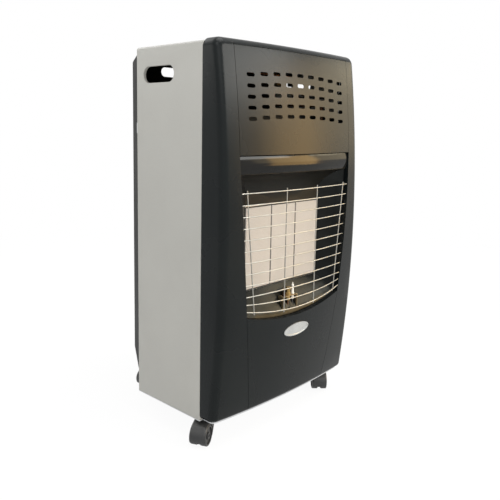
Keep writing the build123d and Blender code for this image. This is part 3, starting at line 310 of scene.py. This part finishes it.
def plasticMaterial(name, values):
    # moulded plastic or rubber with spark-eroded grain
    material, tree, shader = startMaterial(name)
    grain = useGroup(tree, "grain", Fine_Scale=values["fineScale"], Cloud_Scale=plasticCloud)
    addDust(tree, shader, addTone(tree, grain, values), values["dust"])
    rough = spread(tree, grain.outputs["Speckle"], *values["rough"], *middleNoise)
    join(tree, (rough, shader.inputs["Roughness"]))
    addBump(tree, shader, grain.outputs["Speckle"], values["bump"], bumpDepth["plastic"])
    return material


plaqueSet = {
    "pitch": 0.0026, "hole": 0.36, "rim": 0.14, "holeShade": 0.42, "holeShadeTone": (0.42, 0.32, 0.25, 1),
    "dark": (0.43, 0.40, 0.36, 1), "light": (0.487, 0.457, 0.422, 1), "fineScale": 700.0, "cloudScale": 22.0,
    "rough": 0.92, "specular": 0.2, "bump": 0.5, "depth": 0.0006,
}


def plaqueMaterial(values):
    # pressed ceramic with rows of burner holes
    material, tree, shader = startMaterial("plaqueCeramic")
    place = node(tree, "ShaderNodeTexCoord")
    scaled = node(tree, "ShaderNodeMapping", Scale=(1 / values["pitch"], 1.0, 1 / values["pitch"]))
    cells = node(tree, "ShaderNodeTexVoronoi", Scale=1.0, Randomness=0.0, voronoi_dimensions="2D")
    split = node(tree, "ShaderNodeSeparateXYZ")
    flat = node(tree, "ShaderNodeCombineXYZ")
    join(
        tree,
        (place.outputs["Object"], scaled.inputs["Vector"]),
        (scaled.outputs["Vector"], split.inputs[0]),
        (split.outputs["X"], flat.inputs["X"]),
        (split.outputs["Z"], flat.inputs["Y"]),
        (flat.outputs[0], cells.inputs["Vector"]),
    )
    hole = spread(tree, cells.outputs["Distance"], 1.0, 0.0, values["hole"] - values["rim"], values["hole"])
    grain = useGroup(tree, "grain", Fine_Scale=values["fineScale"], Cloud_Scale=values["cloudScale"])
    tone = mixColour(tree, grain.outputs["Cloud"], values["dark"], values["light"])
    # the burner holes are painted darker and browner: painted shade inside the holes
    shaded = mixColour(tree, mathNode(tree, "MULTIPLY", hole, values["holeShade"]), tone, values["holeShadeTone"])
    join(tree, (shaded, shader.inputs["Base Color"]))
    shader.inputs["Roughness"].default_value = values["rough"]
    shader.inputs["Specular IOR Level"].default_value = values["specular"]
    addBump(tree, shader, mathNode(tree, "SUBTRACT", 1.0, hole), values["bump"], values["depth"])
    return material


paints = {
    "sidePaint": {
        "dark": (0.325, 0.321, 0.298, 1), "light": (0.368, 0.364, 0.34, 1), "flake": 0.05,
        "fineScale": 1400.0, "cloudScale": 3.0, "rough": (0.38, 0.46), "metallic": 0.12, "specular": 0.34,
        "coat": 0.05, "coatRough": 0.25, "bump": 0.05, "dust": 0.05,
    },
    "frontPaint": {
        "dark": (0.0044, 0.0060, 0.0064, 1), "light": (0.0070, 0.0088, 0.0090, 1), "flake": 0.12,
        "fineScale": 1100.0, "cloudScale": 5.0, "rough": (0.23, 0.31), "metallic": 0.0, "specular": 0.14,
        "coat": 0.0, "coatRough": 0.12, "bump": 0.04, "dust": 0.03,
    },
    "coverPaint": {
        "dark": (0.009, 0.009, 0.009, 1), "light": (0.014, 0.014, 0.013, 1), "flake": 0.2,
        "fineScale": 700.0, "cloudScale": 5.0, "rough": (0.62, 0.74), "metallic": 0.0, "specular": 0.08,
        "coat": 0.0, "coatRough": 0.2, "bump": 0.12, "dust": 0.015,
    },
    "visorEnamel": {
        "dark": (0.006, 0.006, 0.006, 1), "light": (0.010, 0.010, 0.009, 1), "flake": 0.05,
        "fineScale": 800.0, "cloudScale": 9.0, "rough": (0.08, 0.12), "metallic": 0.0, "specular": 0.14,
        "coat": 0.0, "coatRough": 0.03, "bump": 0.01, "dust": 0.03,
    },
    "hoodEnamel": {
        "dark": (0.006, 0.006, 0.005, 1), "light": (0.010, 0.010, 0.008, 1), "flake": 0.05,
        "fineScale": 800.0, "cloudScale": 9.0, "rough": (0.38, 0.48), "metallic": 0.0, "specular": 0.12,
        "coat": 0.0, "coatRough": 0.03, "bump": 0.01, "dust": 0.03,
    },
}
metals = {
    "reflectorSteel": {
        "dark": (0.013, 0.014, 0.0135, 1), "light": (0.021, 0.022, 0.021, 1), "stretch": (1.0, 1.0, 14.0),
        "scale": 60.0, "cloudScale": 12.0, "rough": (0.27, 0.38), "bump": 0.05, "dust": 0.0,
    },
    "guardPlate": {
        "dark": (0.33, 0.325, 0.30, 1), "light": (0.44, 0.435, 0.405, 1), "stretch": (1.0, 1.0, 1.0),
        "scale": 500.0, "cloudScale": 40.0, "rough": (0.34, 0.46), "bump": 0.05, "dust": 0.0,
    },
    "aluminisedSheet": {
        "dark": (0.42, 0.42, 0.41, 1), "light": (0.56, 0.56, 0.54, 1), "stretch": (1.0, 1.0, 0.08),
        "scale": 300.0, "cloudScale": 18.0, "rough": (0.34, 0.5), "bump": 0.1, "dust": 0.1,
    },
    "zincSteel": {
        "dark": (0.52, 0.53, 0.55, 1), "light": (0.66, 0.67, 0.68, 1), "stretch": (1.0, 0.1, 1.0),
        "scale": 320.0, "cloudScale": 26.0, "rough": (0.28, 0.42), "bump": 0.06, "dust": 0.1,
    },
    # near-black sheet for the heat shield: painted shade inside the cabinet
    "shieldShadeSheet": {
        "dark": (0.035, 0.034, 0.032, 1), "light": (0.06, 0.058, 0.054, 1), "stretch": (1.0, 1.0, 0.1),
        "scale": 300.0, "cloudScale": 16.0, "rough": (0.5, 0.7), "bump": 0.1, "dust": 0.05,
    },
    "heatedSteel": {
        "dark": (0.27, 0.205, 0.115, 1), "light": (0.38, 0.30, 0.18, 1), "stretch": (1.0, 1.0, 1.0),
        "scale": 500.0, "cloudScale": 80.0, "rough": (0.45, 0.6), "bump": 0.08, "dust": 0.0,
    },
    "brassCasting": {
        "dark": (0.30, 0.20, 0.075, 1), "light": (0.46, 0.32, 0.13, 1), "stretch": (1.0, 1.0, 1.0),
        "scale": 700.0, "cloudScale": 60.0, "rough": (0.24, 0.42), "bump": 0.15, "dust": 0.05,
    },
    # darker, rougher copy of brassCasting for the gas valve: painted shade inside the cabinet
    "valveShadeBrass": {
        "dark": (0.075, 0.056, 0.028, 1), "light": (0.12, 0.092, 0.048, 1), "stretch": (1.0, 1.0, 1.0),
        "scale": 700.0, "cloudScale": 60.0, "rough": (0.42, 0.56), "bump": 0.15, "dust": 0.05,
    },
    "copperPipe": {
        "dark": (0.10, 0.048, 0.028, 1), "light": (0.17, 0.088, 0.052, 1), "stretch": (1.0, 1.0, 1.0),
        "scale": 500.0, "cloudScale": 30.0, "rough": (0.26, 0.4), "bump": 0.08, "dust": 0.05,
    },
    "badgeMetal": {
        "dark": (0.50, 0.51, 0.50, 1), "light": (0.62, 0.63, 0.61, 1), "stretch": (0.05, 1.0, 1.0),
        "scale": 900.0, "cloudScale": 30.0, "rough": (0.26, 0.4), "bump": 0.08, "dust": 0.0,
    },
}
plastics = {
    "casterNylon": {"dark": (0.013, 0.0135, 0.014, 1), "light": (0.021, 0.0215, 0.022, 1), "fineScale": 900.0,
                    "rough": (0.36, 0.5), "bump": 0.15, "dust": 0.12},
    "wheelNylon": {"dark": (0.012, 0.0125, 0.013, 1), "light": (0.021, 0.0215, 0.022, 1), "fineScale": 900.0,
                   "rough": (0.42, 0.6), "bump": 0.12, "dust": 0.15},
    "wellPlastic": {"dark": (0.022, 0.022, 0.022, 1), "light": (0.032, 0.032, 0.032, 1), "fineScale": 1300.0,
                    "rough": (0.45, 0.6), "bump": 0.25, "dust": 0.2},
    "knobPlastic": {"dark": (0.014, 0.014, 0.014, 1), "light": (0.022, 0.022, 0.022, 1), "fineScale": 1000.0,
                    "rough": (0.24, 0.34), "bump": 0.05, "dust": 0.15},
    "padRubber": {"dark": (0.012, 0.012, 0.012, 1), "light": (0.02, 0.02, 0.02, 1), "fineScale": 500.0,
                  "rough": (0.7, 0.85), "bump": 0.3, "dust": 0.2},
    "leadSleeve": {"dark": (0.028, 0.026, 0.024, 1), "light": (0.045, 0.042, 0.04, 1), "fineScale": 500.0,
                   "rough": (0.45, 0.6), "bump": 0.1, "dust": 0.1},
    "glazedCeramic": {"dark": (0.78, 0.76, 0.70, 1), "light": (0.88, 0.87, 0.82, 1), "fineScale": 500.0,
                      "rough": (0.15, 0.25), "bump": 0.02, "dust": 0.0},
    # near-black seal fibre: heat-stained fibre and painted shade in the joints between the plaques
    "sealFibreAndJointShade": {"dark": (0.022, 0.020, 0.017, 1), "light": (0.042, 0.039, 0.034, 1), "fineScale": 420.0,
                  "rough": (0.9, 1.0), "bump": 0.8, "dust": 0.1},
}
finishes = {name: paintMaterial(name, values) for name, values in paints.items()}
finishes.update({name: metalMaterial(name, values) for name, values in metals.items()})
finishes.update({name: plasticMaterial(name, values) for name, values in plastics.items()})
finishes["plaqueCeramic"] = plaqueMaterial(plaqueSet)
print("materials built:", len(finishes))

slotFinish = {
    "side_paint": "sidePaint",
    "front_paint": "frontPaint",
    "cover_paint": "coverPaint",
    "visor_gloss": "visorEnamel",
    "reflector_steel": "reflectorSteel",
    "guard_wire": "guardPlate",
    "ceramic": "plaqueCeramic",
    "seal_fibre": "sealFibreAndJointShade",
    "aluminised_steel": "aluminisedSheet",
    "zinc_steel": "zincSteel",
    "brass": "brassCasting",
    "copper_pipe": "copperPipe",
    "white_ceramic": "glazedCeramic",
    "lead_sleeve": "leadSleeve",
    "badge_plate": "badgeMetal",
    "control_black": "wellPlastic",
    "knob_black": "knobPlastic",
    "pad_rubber": "padRubber",
    "caster_plastic": "casterNylon",
    "wheel_plastic": "wheelNylon",
}
# heat_shield and gas_valve take the dark copies above: painted shade inside the cabinet
nodeFinish = {
    "burner_hood": "hoodEnamel",
    "heat_shield": "shieldShadeSheet",
    "pilot_bracket": "heatedSteel",
    "gas_valve": "valveShadeBrass",
}
nodeSlot = {entry["node"]: entry["material_slot"] for entry in frame["record"]["subparts"]}
nodeBody = {name: body for body, names in frame["record"]["behaviour"]["bodies"].items() for name in names}


def dress(target, finish):
    target.data.materials.clear()
    target.data.materials.append(finishes[finish])


def finishOf(name):
    return nodeFinish.get(name, slotFinish[nodeSlot[name]])


for name, target in nodes.items():
    dress(target, finishOf(name))


# smooth-shaded surface for every solid
smoothSet = {"merge": 0.000002, "sharp": math.radians(32)}


def smoothCopy(name):
    # same shape as the solid, with its round faces shaded as one surface
    form = bmesh.new()
    form.from_mesh(nodes[name].data)
    bmesh.ops.remove_doubles(form, verts=form.verts, dist=smoothSet["merge"])
    for edge in form.edges:
        edge.smooth = len(edge.link_faces) == 2 and edge.calc_face_angle(0.0) < smoothSet["sharp"]
    for face in form.faces:
        face.smooth = True
    piece = addObject(name + "_surface", form)
    dress(piece, finishOf(name))
    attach(piece, nodeBody[name])
    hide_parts(name)


for name in sorted(nodes):
    smoothCopy(name)
print("smooth surfaces made")


# small plates that close gaps round the burner: the hood's turned-down foot, the joints
# between the plaques, and the tray behind the pilot group
closing = {
    "footSide": 0.0020, "footRise": 0.026, "footThick": 0.0008, "footGap": 0.00005,
    "jointSink": 0.0005, "trayReach": 0.0030, "trayHeight": 0.0215, "trayThick": 0.0005,
    "trayBehind": 0.0016, "trayBelow": 0.0050, "trayLean": math.radians(-28.1),
}


def addPlate(name, centre, size, lean, finish, like):
    # plain sheet on the body of the node it belongs with
    form = bmesh.new()
    turn = Matrix.Translation(centre) @ Matrix.Rotation(lean, 4, "X")
    bmesh.ops.create_cube(form, size=1.0, matrix=turn @ Matrix.Diagonal((*size, 1.0)))
    plate = addObject(name, form)
    dress(plate, finish)
    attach(plate, nodeBody[like])


def addBetween(name, low, high, finish, like):
    # upright plate between two opposite corners
    low, high = Vector(low), Vector(high)
    addPlate(name, (low + high) / 2, high - low, 0.0, finish, like)


def addClosingPlates(values):
    left, centre, right = (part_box("ceramic_plaque_" + side) for side in ("left", "centre", "right"))
    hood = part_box("burner_hood")
    behind = hood[1][1] + values["footGap"]
    addBetween(
        "hoodFoot",
        (left[0][0] - values["footSide"], behind, hood[0][2]),
        (right[1][0] + values["footSide"], behind + values["footThick"], hood[0][2] + values["footRise"]),
        "hoodEnamel", "burner_hood",
    )
    # dark fibre strips in the joints between the plaques: painted shade between the parts
    for name, one, other in (("jointShadeLeft", left, centre), ("jointShadeRight", centre, right)):
        addBetween(
            name,
            (one[1][0], one[0][1] + values["jointSink"], one[0][2]),
            (other[0][0], one[1][1], one[1][2]),
            "sealFibreAndJointShade", "plaque_seal",
        )
    couple, spark, pilot = (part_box(name) for name in ("thermocouple", "spark_electrode", "pilot_burner"))
    low, high = couple[0][0] - values["trayReach"], spark[1][0] + values["trayReach"]
    middle = (pilot[0][1] + pilot[1][1]) / 2 + values["trayBehind"]
    addPlate(
        "trayBack",
        Vector(((low + high) / 2, middle, pilot[0][2] - values["trayBelow"])),
        (high - low, values["trayThick"], values["trayHeight"]),
        values["trayLean"], "reflectorSteel", "reflector",
    )


addClosingPlates(closing)
print("closing plates added")


# studio
studio = {
    "floorSize": 40.0,
    "floorTone": (0.86, 0.86, 0.86, 1),
    "floorShow": (0.93, 1.0),  # share of plain white that is seen near and far from the object
    "floorFade": (0.8, 2.2),  # metres over which it changes
    "white": (1, 1, 1, 1),
    "worldLight": 0.62,
    "lamps": [
        # name, place, aim, width and height, power, colour
        ("keyLamp", (-2.2, -1.6, 2.6), (0.0, 0.0, 0.45), (1.6, 1.6), 25.0, (1.0, 1.0, 1.0)),
        ("topLamp", (0.2, -0.6, 3.2), (0.0, 0.0, 0.5), (2.2, 2.2), 70.0, (1.0, 1.0, 1.0)),
        ("sheenLamp", (1.47, -2.81, 1.66), (0.0, -0.18, 0.65), (2.4, 0.8), 59.0, (1.0, 1.0, 0.96)),
        ("lowLamp", (2.55, -1.76, 0.96), (0.0, -0.18, 0.62), (2.2, 0.8), 12.5, (1.0, 0.79, 0.42)),
        ("highLamp", (2.85, -1.32, 1.42), (0.12, -0.18, 0.7), (0.9, 0.5), 6.0, (1.0, 0.87, 0.6)),
        ("warmLamp", (1.915, -1.787, 0.72), (0.0, -0.18, 0.55), (0.66, 1.05), 17.0, (1.0, 0.58, 0.16)),
        ("edgeLamp", (-2.2, 1.4, 1.24), (-0.2, -0.15, 0.72), (2.4, 0.5), 8.0, (1.0, 1.0, 0.96)),
        ("cornerLamp", (-1.65, -2.65, 1.6), (-0.2, -0.15, 0.7), (1.9, 0.6), 7.0, (1.0, 1.0, 1.0)),
        ("rearLamp", (-0.6, 2.4, 2.5), (0.0, 0.0, 0.5), (1.8, 1.8), 22.0, (1.0, 1.0, 1.0)),
    ],
}


def addSeen(tree):
    # 1 where the camera, a reflection or a view through glass sees the studio
    path = node(tree, "ShaderNodeLightPath")
    seen = mathNode(tree, "MAXIMUM", path.outputs["Is Camera Ray"], path.outputs["Is Glossy Ray"])
    return mathNode(tree, "MAXIMUM", seen, path.outputs["Is Transmission Ray"])


def addFloor(values):
    form = bmesh.new()
    bmesh.ops.create_grid(form, x_segments=1, y_segments=1, size=values["floorSize"] / 2)
    floor = addObject("studioFloor", form)
    material = bpy.data.materials.new("studioWhite")
    material.use_nodes = True
    tree = material.node_tree
    tree.nodes.clear()
    diffuse = node(tree, "ShaderNodeBsdfDiffuse", Color=values["floorTone"])
    glow = node(tree, "ShaderNodeEmission", Color=values["white"], Strength=1.0)
    seen = addSeen(tree)
    place = node(tree, "ShaderNodeTexCoord")
    away = node(tree, "ShaderNodeVectorMath", operation="LENGTH")
    join(tree, (place.outputs["Object"], away.inputs[0]))
    share = spread(tree, away.outputs["Value"], *values["floorShow"], *values["floorFade"])
    mix = node(tree, "ShaderNodeMixShader")
    end = node(tree, "ShaderNodeOutputMaterial")
    join(
        tree,
        (mathNode(tree, "MULTIPLY", seen, share), mix.inputs[0]),
        (diffuse.outputs[0], mix.inputs[1]),
        (glow.outputs[0], mix.inputs[2]),
        (mix.outputs[0], end.inputs["Surface"]),
    )
    floor.data.materials.append(material)


def addWorld(values):
    world = bpy.data.worlds.new("studioWorld")
    scene.world = world
    world.use_nodes = True
    tree = world.node_tree
    tree.nodes.clear()
    light = node(tree, "ShaderNodeBackground", Color=values["white"], Strength=values["worldLight"])
    shown = node(tree, "ShaderNodeBackground", Color=values["white"], Strength=1.0)
    seen = addSeen(tree)
    mix = node(tree, "ShaderNodeMixShader")
    end = node(tree, "ShaderNodeOutputWorld")
    join(
        tree,
        (seen, mix.inputs[0]),
        (light.outputs[0], mix.inputs[1]),
        (shown.outputs[0], mix.inputs[2]),
        (mix.outputs[0], end.inputs["Surface"]),
    )


def addLamps(values):
    for name, place, aim, (width, height), power, colour in values["lamps"]:
        data = bpy.data.lights.new(name, "AREA")
        data.shape = "RECTANGLE"
        data.size, data.size_y = width, height
        data.energy = power
        data.color = colour
        lamp = bpy.data.objects.new(name, data)
        lamp.location = place
        lamp.rotation_euler = (Vector(aim) - Vector(place)).to_track_quat("-Z", "Y").to_euler()
        lamp.visible_camera = False
        scene.collection.objects.link(lamp)


addFloor(studio)
addWorld(studio)
addLamps(studio)
print("studio lit")
